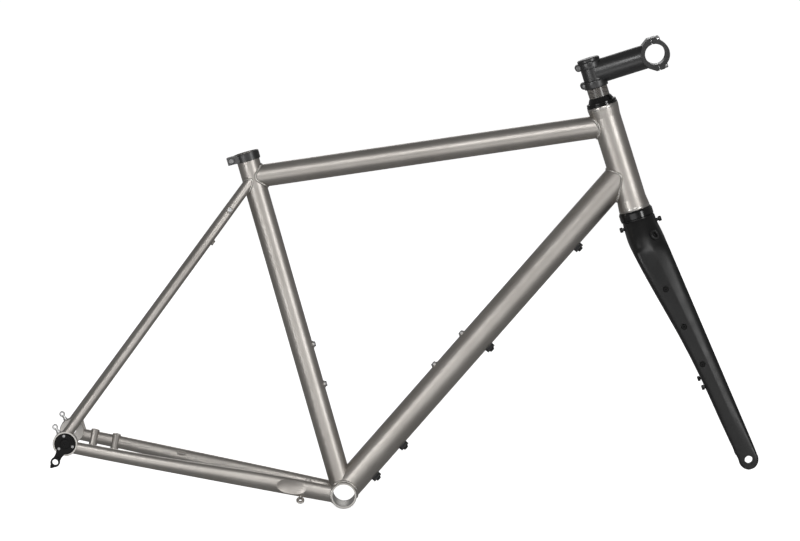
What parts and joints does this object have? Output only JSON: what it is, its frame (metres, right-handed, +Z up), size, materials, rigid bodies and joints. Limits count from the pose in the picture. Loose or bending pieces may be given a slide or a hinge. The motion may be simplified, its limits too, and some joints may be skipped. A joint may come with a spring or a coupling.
{
  "type": "bicycle frameset",
  "caption": "Welded titanium touring bicycle frame with a black carbon fork, headset, stem and seat clamp, and with bottle cage, rack and mudguard bosses.",
  "frame": {"origin": "centre of the bottom bracket shell, on its axis and in the frame's middle plane", "axes": "+X forward towards the front wheel, +Y to the rider's left along the bottom bracket's axis, +Z up"},
  "size_m": [1.0833, 0.1624, 0.7388],
  "materials": {
    "titanium": "bead-blasted titanium, satin",
    "titanium_machined": "machined titanium",
    "steel_bright": "polished stainless steel",
    "steel_black": "black oxide steel",
    "bearing_steel": "ground bearing steel",
    "black_anodised": "satin black anodised aluminium",
    "black_gloss": "polished black anodised aluminium",
    "aluminium_bare": "machined aluminium",
    "carbon_satin": "carbon fibre under satin black lacquer",
    "carbon_weave": "woven carbon fibre under clear lacquer",
    "black_plastic": "moulded nylon"
  },
  "bodies": {
    "frame": {"axle_nut": "black_gloss", "bottle_bolts": "steel_bright", "bottle_bosses": "titanium_machined", "bottom_bracket_shell": "titanium_machined", "brake_bosses": "titanium", "cable_guide_1": "black_plastic", "cable_guide_2": "black_plastic", "cable_guide_3": "black_plastic", "cable_guide_4": "black_plastic", "chainstay_bridge": "titanium", "chainstay_left": "titanium", "chainstay_loop": "titanium", "chainstay_right": "titanium", "derailleur_hanger": "black_gloss", "down_tube": "titanium", "dropout_left": "titanium_machined", "dropout_right": "titanium_machined", "guide_bolts": "steel_black", "hanger_screws": "steel_bright", "head_tube": "titanium", "hose_port": "titanium", "lower_headset_cup": "black_gloss", "lower_outer_race": "bearing_steel", "mudguard_eyebolts": "steel_bright", "rack_boss_bolts": "steel_bright", "rack_bosses": "titanium", "seat_clamp_bolt": "steel_bright", "seat_clamp_collar": "black_anodised", "seat_tube": "titanium", "seatstay_bridge": "titanium", "seatstay_left": "titanium", "seatstay_right": "titanium", "top_tube": "titanium", "upper_headset_cup": "black_gloss", "upper_outer_race": "bearing_steel"},
    "fork": {"lower_inner_race": "bearing_steel", "upper_inner_race": "bearing_steel", "crown_race": "steel_black", "compression_ring": "aluminium_bare", "headset_cover": "black_gloss", "headset_spacer": "carbon_weave", "fork_blade_right": "carbon_satin", "fork_blade_left": "carbon_satin", "fork_crown": "carbon_satin", "fork_port": "black_plastic", "fork_pack_bolts": "steel_black", "fork_guard_bolts": "steel_black", "steerer_tube": "carbon_satin", "stem_body": "black_anodised", "stem_faceplate": "black_anodised", "faceplate_bolts": "steel_bright", "stem_clamp_bolts": "steel_bright", "top_cap": "black_anodised", "top_cap_bolt": "steel_black", "steerer_plug": "aluminium_bare"},
    "lower_balls": {"lower_balls": "bearing_steel"},
    "upper_balls": {"upper_balls": "bearing_steel"}
  },
  "joints": [
    {"name": "steering", "type": "hinge", "parent": "frame", "child": "fork", "pos_m": [0.3807, 0, 0.6098], "axis": [-0.3256, 0, 0.9455], "continuous": true},
    {"name": "lower_balls_roll", "type": "hinge", "parent": "frame", "child": "lower_balls", "pos_m": [0.3807, 0, 0.6098], "axis": [-0.3256, 0, 0.9455], "continuous": true},
    {"name": "upper_balls_roll", "type": "hinge", "parent": "frame", "child": "upper_balls", "pos_m": [0.3807, 0, 0.6098], "axis": [-0.3256, 0, 0.9455], "continuous": true}
  ],
  "couplings": [
    {"joint": "lower_balls_roll", "follows": "steering", "ratio": 0.4718},
    {"joint": "upper_balls_roll", "follows": "steering", "ratio": 0.4542}
  ]
}
